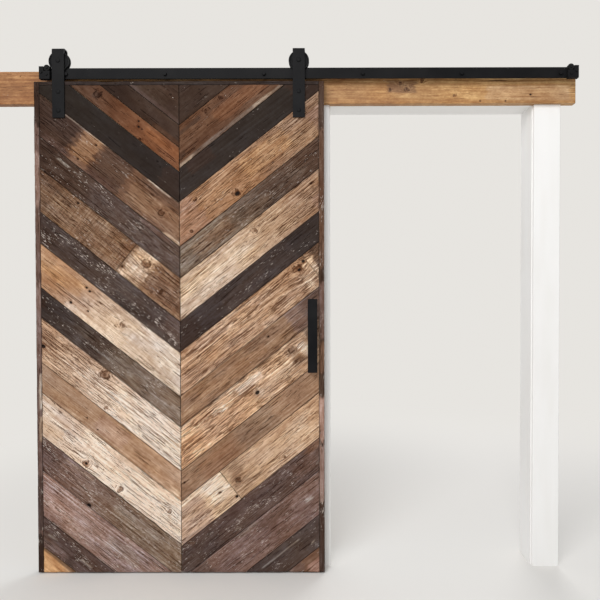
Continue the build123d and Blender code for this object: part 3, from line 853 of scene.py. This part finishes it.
# Six lag bolts with washers go through the rail, a turned spacer each and the header
lag_rows = rows_in_box("track_lag_bolts", radius=0.0085, along=6, up=1)
lag_x, _, lag_z = lag_rows["First place"]
thread_start = 0.0005
thread_rows = {**lag_rows, "First place": (lag_x, thread_start, lag_z)}
lag_heads = [(-85.5, 7), (-84.8, 8.2), (-79, 8.2)]
lag_stems = [
    (-79, 8.2), (-78.6, 8.5), (-77.3, 8.5), (-77, 8.2), (-76.9, 5), (-0.1, 5), (0, 3.4), (42, 3.4), (45, 0.8),
]
thread_sizes = {"Turns": 11.0, "Length": 0.041, "Root radius": 0.0035, "Ridge": 0.0009}
spacer_shape = [(-71, 8), (-70.5, 8.5), (-38.5, 8.5), (-38, 8)]
fasteners(
    "track_lag_bolts", "frame",
    rows_of(turned_tree, lag_heads, lag_rows, Sides=6),
    rows_of(turned_tree, lag_stems, lag_rows, Sides=32),
    rows_of(thread_tree, [], thread_rows, **thread_sizes),
)
fasteners("track_spacers", "frame", rows_of(turned_tree, spacer_shape, lag_rows, Sides=40))


# The end stops: a notched steel block at each end of the rail, with a rubber buffer in its inner
# corner. A socket screw holds each block and another each buffer, with a nut behind the rail.
softened("end_stop_left", width=0.0009, body="frame")
softened("end_stop_right", width=0.0009, body="frame")
softened("stop_screws", width=0.0004, body="frame")
rubber_black = (0.010, 0.010, 0.010, 1)
rubber_grey = (0.020, 0.020, 0.019, 1)


def rubber():
    """Black rubber, dull, with a faint mould bloom."""
    made, tree = new_material("buffer rubber")
    bloom = clouds_at(tree, place_on_piece(tree), 60, 4)
    colour = mix_colour(tree, rise(tree, bloom, 0.4, 0.7), rubber_black, rubber_grey)
    surface(tree, colour, roughness=0.75, shine=0.1, height=bloom, relief=0.0002)
    return made


softened("stop_buffers", width=0.0015, body="frame", material=rubber(), slot="buffer_rubber")


# The floor guide: a thin steel plate screwed to the floor, with a fin that runs in the groove
# along the foot of the door and keeps it from swinging.
softened("floor_guide", width=0.0006, body="frame")


# The back of the door: a flat sheathing panel that all the boards are nailed to, in plain tan
# plywood with an upright grain. The frame's own solid is its true shape.
veneer_dark = (0.36, 0.235, 0.13, 1)
veneer_light = (0.50, 0.36, 0.22, 1)
pore_brown = (0.20, 0.12, 0.065, 1)


def plywood():
    """Plywood face veneer: long upright streaks in tan, with thin darker pores."""
    made, tree = new_material("plywood back")
    place = place_on_piece(tree)
    waves = streaks(tree, place, 0.9, 0.028, 4, 5, axis=2)
    pores = streaks(tree, place, 0.05, 0.0016, 2, 9, axis=2)
    colour = mix_colour(tree, rise(tree, waves, 0.3, 0.7), veneer_dark, veneer_light)
    colour = mix_colour(tree, rise(tree, pores, 0.60, 0.75), colour, pore_brown)
    surface(tree, colour, roughness=0.7, shine=0.3, height=pores, relief=0.0002)
    return made


finish_node("door_back_panel", plywood())


# The door's edge boards: thin strips of the same old timber, nailed over the ends of the chevron
# boards and the panel, up both sides and along the top.
weathered_wood = wood("weathered boards", roughness=0.78, shine=0.07, relief=0.0007, grime=0.5)
edge_looks = {
    "edge_left": dict(
        stain=("heather", "heather"), shade=(0.65, 0.65), figure=0.5, slits=0.4, flecks=0.4,
        patches=[
            ("mahogany", 1900, 2100, -9, 60), ("rose", 1560, 1800, -9, 60, 0.6),
            ("mulberry", 880, 1250, -9, 60, 0.6), ("bleached", 700, 860, 8, 60, 0.7),
            ("straw", 560, 680, 8, 60, 0.6), ("plum", 170, 420, -9, 60), ("mahogany", -20, 170, -9, 60),
        ],
    ),
    "edge_right": dict(
        stain=("walnut", "walnut"), figure=0.5, slits=0.4, flecks=0.5,
        patches=[
            ("heather", 1000, 1250, -9, 60, 0.8), ("umber", 850, 1000, -9, 60),
            ("rose", 560, 760, -9, 60, 0.9), ("mulberry", 300, 560, -9, 60, 0.8),
            ("umber", 1300, 1900, -9, 60, 0.6), ("mahogany", -20, 300, -9, 60),
        ],
    ),
    "edge_top": dict(
        stain=("charcoal", "charcoal"), shade=(0.45, 0.45), figure=0.4, slits=0.3, flecks=0.1,
    ),
}
for n, (node, look) in enumerate(edge_looks.items()):
    straight_board(node, node != "edge_top", look, weathered_wood, "door", seed=60 + n)


# The chevron: old barn boards of mixed ages and finishes, sawn to meet in a V down the middle of
# the door and nailed to the panel. Their marks are measured along each board from the seam end of
# its upper edge, and down across it.
chevron_angle = math.radians(38.3)
set_back_step = 0.0003
chevron = {
    "left_01": dict(
        stain=("walnut", "walnut"), shade=(0.7, 0.55), figure=0.25, slits=0.2, flecks=0.1,
        knots=[(3, 54, 6)],
        patches=[
            ("mahogany", -60, -5, 70, 112, 0.7), ("bark", -60, 130, 40, 70, 0.5),
            ("plum", -130, 330, 112, 160, 0.7),
        ],
    ),
    "left_02": dict(
        stain=("bark", "mahogany"), shade=(0.55, 0.2), figure=0.1, slits=0.1, flecks=0,
        patches=[("chestnut", -80, 90, 52, 90, 0.6)],
    ),
    "left_03": dict(
        stain=("russet", "walnut"), shade=(0.75, 0.5), figure=0.28, slits=0.25, flecks=0,
        knots=[(408, 34, 15), (150, 90, 16)], holes=[(205, 18, 4), (190, 37, 4.5), (173, 36, 3)],
        cracks=[(-30, 110, 52), (-10, 90, 61), (320, 400, 40)],
        patches=[("amber", -60, 170, 6, 50, 0.5), ("mahogany", 395, 440, 20, 60, 0.6)],
    ),
    "left_04": dict(
        stain=("tar", "soot"), shade=(0.65, 0.6), figure=0.22, slits=0.05, flecks=0.15, mottle=0.7,
        holes=[(100, 22, 3)],
        patches=[("chestnut", 250, 560, 98, 112, 0.5), ("mahogany", -110, 60, 0, 104, 0.5)],
    ),
    "left_05": dict(
        stain=("umber", "umber"), shade=(1, 0.65), figure=0.45, slits=0.5, flecks=0.3, knots=[(35, 78, 13)],
        holes=[(430, 24, 4), (455, 118, 4)], cracks=[(300, 560, 103), (60, 220, 100), (220, 380, 122)],
        patches=[
            ("tan", -90, 210, 40, 130, 0.5), ("bark", -40, 200, -9, 34, 0.5),
            ("bark", 230, 392, -9, 160, 0.8), ("mahogany", 512, 820, -9, 160, 0.85),
            ("copper", 399, 503, -9, 160, 0.8), ("straw", -120, -20, 124, 160, 0.7),
            ("bleached", 391, 623, -9, 7, 0.7), ("bleached", 33, 171, -9, 7, 0.6),
            ("heather", 250, 640, 112, 150, 0.4),
        ],
    ),
    "left_06": dict(
        stain=("slate", "bark"), shade=(0.9, 0.6), figure=0.6, slits=0.5, flecks=0.55,
        cracks=[(-60, 330, 22), (300, 620, 80)],
        patches=[
            ("heather", 40, 210, -9, 22, 0.5), ("silver", 570, 650, 18, 36, 0.6),
            ("mahogany", 660, 800, -9, 120, 0.4),
        ],
    ),
    "left_07": dict(
        stain=("fawn", "fawn"), shade=(1.2, 0.7), figure=0.55, slits=0.7, flecks=0.4, saw_marks=1.7,
        knots=[(150, 40, 19), (25, 95, 9), (60, 125, 8)], holes=[(536, 17, 4.5), (225, 112, 4)],
        cracks=[(-60, 130, 16), (-20, 115, 30), (-60, 60, 80), (-90, 90, 104), (40, 130, 62)],
        patches=[
            ("umber", -130, 105, 10, 130, 0.5), ("straw", 112, 226, -9, 160, 0.75),
            ("bleached", 120, 226, 66, 160, 0.3), ("tan", 120, 185, 14, 62, 0.4),
            ("chestnut", 232, 275, -9, 160, 0.4), ("tan", 470, 640, 50, 160, 0.35),
            ("umber", 620, 800, -9, 160, 0.5),
        ],
    ),
    "left_08": dict(
        stain=("slate", "slate"), shade=(0.65, 0.55), figure=0.5, slits=0.45, flecks=0.65,
        patches=[
            ("heather", -120, 60, 0, 80, 0.4), ("charcoal", 100, 300, 60, 110, 0.6),
            ("tar", 190, 260, 88, 112, 0.6), ("bark", 620, 800, 30, 112, 0.6),
        ],
    ),
    "left_09": dict(
        stain=("bleached", "copper"), shade=(0.8, 1.05), figure=0.32, slits=0.45, flecks=0.1, saw_marks=0.5,
        knots=[(270, 57, 13)], holes=[(466, 31, 5), (486, 27, 5), (500, 118, 6), (420, 102, 4)],
        cracks=[(430, 670, 100), (278, 300, 80), (400, 560, 94)],
        patches=[
            ("straw", 200, 420, -9, 160, 0.4), ("gold", 480, 720, 20, 90, 0.45),
            ("cream", -130, 520, 118, 160, 0.6), ("tan", 640, 800, -9, 60, 0.5),
        ],
    ),
    "left_10": dict(
        stain=("driftwood", "charcoal"), shade=(1.1, 0.5), figure=0.55, slits=0.45, flecks=0.6,
        patches=[
            ("mahogany", 360, 480, -9, 110, 0.6), ("silver", 10, 110, 58, 70, 0.6),
            ("silver", 290, 460, 58, 68, 0.5), ("silver", 230, 330, 30, 42, 0.35),
            ("bark", 690, 800, 20, 110, 0.7),
        ],
    ),
    "left_11": dict(
        stain=("cream", "oak"), shade=(1.05, 1.1), figure=0.5, slits=0.75, flecks=0.1, mottle=0.75,
        knots=[(392, 22, 19), (302, 130, 9)], holes=[(673, 90, 8)],
        cracks=[
            (440, 520, 22), (450, 510, 113), (520, 740, 34), (540, 740, 50), (520, 720, 62), (560, 730, 76),
            (500, 690, 90),
        ],
        patches=[
            ("tan", 372, 410, -9, 44, 0.7), ("cream", -100, 330, 20, 110, 0.5),
            ("tan", 640, 800, 20, 160, 0.6),
        ],
    ),
    "left_12": dict(
        stain=("oak", "oak"), shade=(1.1, 0.8), figure=0.4, slits=0.25, flecks=0.05,
        holes=[(390, 80, 3), (456, 68, 3)],
        patches=[("rose", 250, 420, 10, 90, 0.4), ("straw", -60, 0, 70, 112, 0.6)],
    ),
    "left_13": dict(
        stain=("cream", "bleached"), shade=(1.25, 0.95), figure=0.3, slits=0.6, flecks=0.1, mottle=0.7,
        knots=[(15, 66, 11), (240, 122, 13), (420, 122, 16)], holes=[(420, 124, 6)],
        cracks=[(650, 690, 27), (20, 150, 132), (-80, 30, 106), (360, 410, 108), (440, 470, 112)],
        patches=[
            ("straw", 560, 800, 30, 160, 0.6), ("straw", -60, 800, -9, 22, 0.5),
            ("rose", 500, 660, -9, 60, 0.25),
        ],
    ),
    "left_14": dict(
        stain=("driftwood", "heather"), shade=(1.2, 0.95), figure=0.75, slits=0.5, flecks=0.65,
        holes=[(415, 112, 8)],
        patches=[
            ("silver", 90, 330, 20, 80, 0.3), ("plum", 600, 800, -9, 120, 0.6),
            ("bleached", 450, 620, 10, 24, 0.4),
        ],
    ),
    "left_15": dict(
        stain=("mulberry", "mulberry"), shade=(0.8, 1.1), figure=0.75, slits=0.5, flecks=0.65,
        saw_marks=0.5,
        patches=[
            ("silver", 180, 360, 30, 90, 0.3), ("rose", 520, 700, 50, 110, 0.4),
            ("plum", -120, 800, 142, 160, 0.6),
        ],
    ),
    "left_16": dict(
        stain=("plum", "plum"), shade=(1.15, 0.8), figure=0.65, slits=0.45, flecks=0.55,
        patches=[
            ("silver", 455, 530, 38, 54, 0.7), ("mahogany", 520, 565, 20, 110, 0.6),
            ("heather", 560, 690, 60, 110, 0.5), ("silver", 640, 700, 36, 52, 0.5),
        ],
    ),
    "left_17": dict(
        stain=("gold", "gold"), shade=(1.1, 1.1), figure=0.3, slits=0.1, flecks=0, nail_holes=0,
        drying_cracks=0,
        patches=[
            ("mahogany", 560, 800, -9, 14, 0.7), ("amber", 625, 680, 24, 42, 0.6),
            ("tan", 560, 630, 0, 60, 0.5),
        ],
    ),
    "right_01": dict(
        stain=("walnut", "walnut"), shade=(0.65, 0.55), figure=0.22, slits=0.2, flecks=0.4,
        patches=[("mahogany", -10, 80, -9, 40, 0.6), ("silver", 58, 78, 104, 116, 0.7)],
    ),
    "right_02": dict(
        stain=("chestnut", "umber"), shade=(0.65, 0.7), figure=0.36, slits=0.4, flecks=0.05,
        knots=[(130, 24, 12), (212, 18, 11)], cracks=[(-90, 20, 112), (-70, 40, 100), (-60, 0, 118)],
        patches=[
            ("russet", 130, 420, 36, 108, 0.55), ("mahogany", -60, 110, 16, 40, 0.6),
            ("mahogany", -110, -50, 90, 122, 0.6), ("ash", -120, 560, 124, 146, 0.75),
            ("straw", -130, -20, 126, 146, 0.6), ("straw", 290, 400, 126, 142, 0.4),
        ],
    ),
    "right_03": dict(
        stain=("tar", "soot"), shade=(0.8, 0.75), figure=0.3, slits=0.15, flecks=0.1, mottle=0.7,
        patches=[
            ("mahogany", 20, 160, -9, 60, 0.5), ("mahogany", 560, 800, -9, 120, 0.6),
            ("silver", 208, 222, 94, 110, 0.7),
        ],
    ),
    "right_04": dict(
        stain=("copper", "tan"), shade=(1, 0.85), figure=0.5, slits=0.65, flecks=0.2,
        knots=[(58, 34, 9), (-40, 128, 8), (214, 122, 15)], holes=[(214, 124, 10), (60, 36, 4)],
        cracks=[(62, 92, 44), (560, 650, 100), (400, 480, 96), (560, 680, 70), (580, 640, 88)],
        patches=[
            ("gold", 290, 540, 20, 110, 0.35), ("rose", -140, 60, -9, 160, 0.4),
            ("rose", 640, 800, 40, 160, 0.35), ("straw", 60, 220, 8, 20, 0.5),
        ],
    ),
    "right_05": dict(
        stain=("driftwood", "bark"), shade=(0.85, 0.95), figure=0.7, slits=0.6, flecks=0.5,
        patches=[
            ("tan", 30, 240, 20, 90, 0.4), ("silver", 250, 280, 58, 84, 0.5),
            ("silver", 470, 520, 54, 72, 0.35), ("walnut", 420, 720, 40, 110, 0.4),
        ],
    ),
    "right_06": dict(
        stain=("straw", "tan"), shade=(0.9, 1), figure=0.42, slits=0.6, flecks=0.1, knots=[(375, 38, 12)],
        holes=[(688, 30, 5)],
        cracks=[
            (630, 720, 30), (40, 130, 34), (60, 130, 44), (420, 560, 52), (440, 600, 100), (470, 600, 90),
            (380, 420, 60),
        ],
        patches=[
            ("cream", -120, 240, 60, 160, 0.3), ("bleached", -10, 300, 8, 26, 0.4),
            ("straw", 200, 460, 90, 160, 0.5), ("rose", 640, 700, 80, 140, 0.4),
        ],
    ),
    "right_07": dict(
        stain=("charcoal", "charcoal"), shade=(0.7, 0.65), figure=0.55, slits=0.3, flecks=0.4, mottle=0.8,
        patches=[
            ("mahogany", -120, 60, -9, 120, 0.5), ("slate", 180, 420, 30, 100, 0.4),
            ("tar", 560, 800, -9, 120, 0.5),
        ],
    ),
    "right_08": dict(
        stain=("oak", "oak"), shade=(1.3, 1), figure=0.5, slits=0.8, flecks=0.1, knots=[(608, 34, 20)],
        holes=[(650, 22, 7), (614, 40, 7)],
        cracks=[
            (-60, 200, 30), (0, 260, 44), (180, 420, 100), (30, 330, 84), (40, 230, 60), (200, 320, 112),
            (500, 600, 24), (640, 700, 52),
        ],
        patches=[
            ("oak", -130, 260, 30, 130, 0.35), ("straw", 590, 640, 60, 160, 0.7),
            ("straw", 630, 690, 6, 110, 0.7), ("silver", 240, 400, 4, 20, 0.4),
            ("bark", 680, 800, -9, 160, 0.8),
        ],
    ),
    "right_09": dict(
        stain=("tan", "tan"), shade=(1, 0.85), figure=0.55, slits=0.5, flecks=0.1, holes=[(452, 32, 4.5)],
        cracks=[(560, 660, 30), (460, 520, 36)],
        patches=[
            ("heather", 550, 800, -9, 110, 0.7), ("plum", 620, 800, -9, 110, 0.5),
            ("copper", 60, 420, 30, 80, 0.3),
        ],
    ),
    "right_10": dict(
        stain=("honey", "honey"), shade=(1.45, 1), figure=0.55, slits=0.8, flecks=0.15,
        knots=[(162, 58, 7), (575, 34, 13)], holes=[(347, 88, 9)],
        cracks=[
            (60, 160, 30), (70, 150, 44), (-60, 90, 74), (-50, 60, 92), (100, 230, 96), (390, 510, 26),
            (400, 500, 44), (420, 560, 58),
        ],
        patches=[
            ("bark", -20, 560, -9, 12, 0.4), ("cream", 140, 215, 18, 62, 0.4),
            ("cream", 280, 420, 18, 60, 0.4), ("cream", 322, 375, 70, 106, 0.6),
            ("silver", 330, 560, 70, 130, 0.25), ("umber", 540, 600, 16, 110, 0.65),
            ("cream", 596, 650, 30, 100, 0.6), ("copper", -130, 60, 60, 160, 0.4),
            ("plum", 655, 800, -9, 160, 0.6),
        ],
    ),
    "right_11": dict(
        stain=("tan", "tan"), shade=(1, 1), figure=0.46, slits=0.45, flecks=0.05, mottle=0.7,
        holes=[(-20, 47, 4)], cracks=[(-50, -8, 46)],
        patches=[
            ("russet", 60, 260, 20, 110, 0.3), ("driftwood", 280, 480, -9, 110, 0.3),
            ("chestnut", -110, 0, 40, 110, 0.4),
        ],
    ),
    "right_12": dict(
        stain=("straw", "honey"), shade=(1.05, 1.05), figure=0.42, slits=0.6, flecks=0.1, mottle=0.8,
        knots=[(250, 78, 11), (465, 122, 6)], holes=[(152, 72, 5), (200, 130, 6)],
        cracks=[
            (-60, 100, 104), (-80, 90, 116), (-40, 60, 92), (120, 180, 74), (40, 180, 110), (380, 480, 100),
        ],
        patches=[
            ("rose", -130, 80, 20, 160, 0.5), ("cream", 92, 200, -9, 112, 0.45),
            ("straw", 92, 203, 100, 160, 0.5), ("chestnut", 222, 282, 40, 104, 0.5),
            ("tan", 208, 300, -9, 160, 0.5), ("straw", 420, 640, 30, 130, 0.5),
            ("heather", -120, 60, 132, 160, 0.6),
        ],
    ),
    "right_13": dict(
        stain=("plum", "plum"), shade=(0.85, 1.05), figure=0.6, slits=0.45, flecks=0.6,
        patches=[
            ("umber", 30, 60, -9, 30, 0.7), ("charcoal", -80, 160, 20, 120, 0.4),
            ("silver", 222, 252, 78, 98, 0.5), ("heather", 560, 700, 20, 90, 0.3),
            ("chestnut", 660, 800, -9, 30, 0.6),
        ],
    ),
    "right_14": dict(
        stain=("heather", "heather"), shade=(1.05, 0.95), figure=0.65, slits=0.45, flecks=0.5,
        patches=[
            ("charcoal", -120, 140, -9, 160, 0.5), ("silver", 612, 665, 62, 82, 0.6),
            ("plum", 380, 560, 6, 60, 0.4), ("silver", 560, 590, 98, 112, 0.5),
            ("driftwood", 290, 420, -9, 24, 0.5),
        ],
    ),
    "right_15": dict(
        stain=("mahogany", "charcoal"), shade=(0.8, 1.1), figure=0.35, slits=0.35, flecks=0.45,
        patches=[
            ("silver", 415, 625, 24, 36, 0.6), ("silver", 646, 676, 66, 82, 0.7),
            ("slate", 400, 620, 36, 109, 0.3),
        ],
    ),
    "right_16": dict(
        stain=("umber", "umber"), shade=(1.2, 1.2), figure=0.35, slits=0.2, flecks=0.2, nail_holes=0,
        patches=[("plum", 560, 660, -9, 40, 0.5), ("rose", 655, 760, 26, 110, 0.8)],
    ),
}
seam = (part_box("plank_left_05")[1].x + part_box("plank_right_05")[0].x) / 2
for n, (name, look) in enumerate(chevron.items()):
    node = f"plank_{name}"
    toward = -1 if name.startswith("left") else 1
    grain = (toward * math.cos(chevron_angle), math.sin(chevron_angle))
    side = Vector((toward * math.sin(chevron_angle), -math.cos(chevron_angle)))
    # The board's upper edge, drawn on to the seam, and its width
    downs = [corner @ side for outline in outlines(node) for corner in outline]
    width = max(downs) - min(downs)
    start = Vector((seam, (min(downs) - seam * side.x) / side.y))
    # Old boards differ in thickness, so their faces stand back by none to four steps
    look["set_back"] = set_back_step * (7 * n % 5)
    board_piece(node, grain, side, start, width, look, weathered_wood, "door", seed=100 + n)


# The hangers: flat steel bent over each wheel and bolted down the face of the door, with the axle
# bolts and the bushes that the wheels turn on.
steel_dark = (0.42, 0.42, 0.43, 1)
steel_light = (0.55, 0.55, 0.56, 1)


def ground_steel():
    """Bare ground steel with fine turning marks."""
    made, tree = new_material("ground steel")
    marks = streaks(tree, place_on_piece(tree), 0.0004, 0.02, 1, 4, axis=1)
    colour = mix_colour(tree, marks, steel_dark, steel_light)
    surface(tree, colour, spread(tree, marks, 0.25, 0.4), metallic=1.0)
    return made


softened("hanger_left", width=0.0012, body="door", segments=3)
softened("hanger_right", width=0.0012, body="door", segments=3)
finish_node("axle_bushes", ground_steel())
strap_rows = rows_in_box("hanger_bolts", radius=0.009, along=2, up=2)
domed_bolts = [
    (-97.5, 2.5), (-97.4, 4.5), (-97.0, 6.6), (-96.2, 8.2), (-95.2, 9), (-94, 9), (-93.9, 4), (-53.1, 4),
    (-53, 8.6), (-52.6, 9), (-45.4, 9), (-45, 8.6),
]
# The frame's axle nuts are widest across their corners
nut_flats = 0.017
axle_rows = rows_in_box("axle_bolts", radius=nut_flats / math.sqrt(3), along=2, up=1)
axle_shape = [
    (-98.5, 3), (-98.3, 6), (-97.7, 8), (-96.6, 9.2), (-95.4, 9.5), (-94, 9.5), (-93.9, 5), (-46, 5),
]
axle_nuts = [(-54, 9.5), (-46.8, 9.5), (-46.1, 8.4)]
fasteners("hanger_bolts", "door", rows_of(turned_tree, domed_bolts, strap_rows, Sides=32))
fasteners(
    "axle_bolts", "door",
    rows_of(turned_tree, axle_shape, axle_rows, Sides=36),
    rows_of(turned_tree, axle_nuts, axle_rows, Sides=6),
)


# The wheels: turned steel with a flange each side of the rail, powder-coated like the rest. Each
# turns on the bush of its axle.
softened("wheel_left", width=0.0004, body="wheel_left")
softened("wheel_right", width=0.0004, body="wheel_right")


# The pull: a flat steel bar on two round posts, powder-coated, held by pan-headed screws from the
# back of the door.
softened("pull_handle", width=0.0007, body="door")
screw_rows = rows_in_box("handle_screws", radius=0.006, along=1, up=2)
pan_screws = [(-104, 3), (-53.1, 3), (-53, 5.7), (-52.6, 6), (-51, 5.6), (-49.6, 4.4), (-49, 2.6)]
fasteners("handle_screws", "door", rows_of(turned_tree, pan_screws, screw_rows, Sides=28))
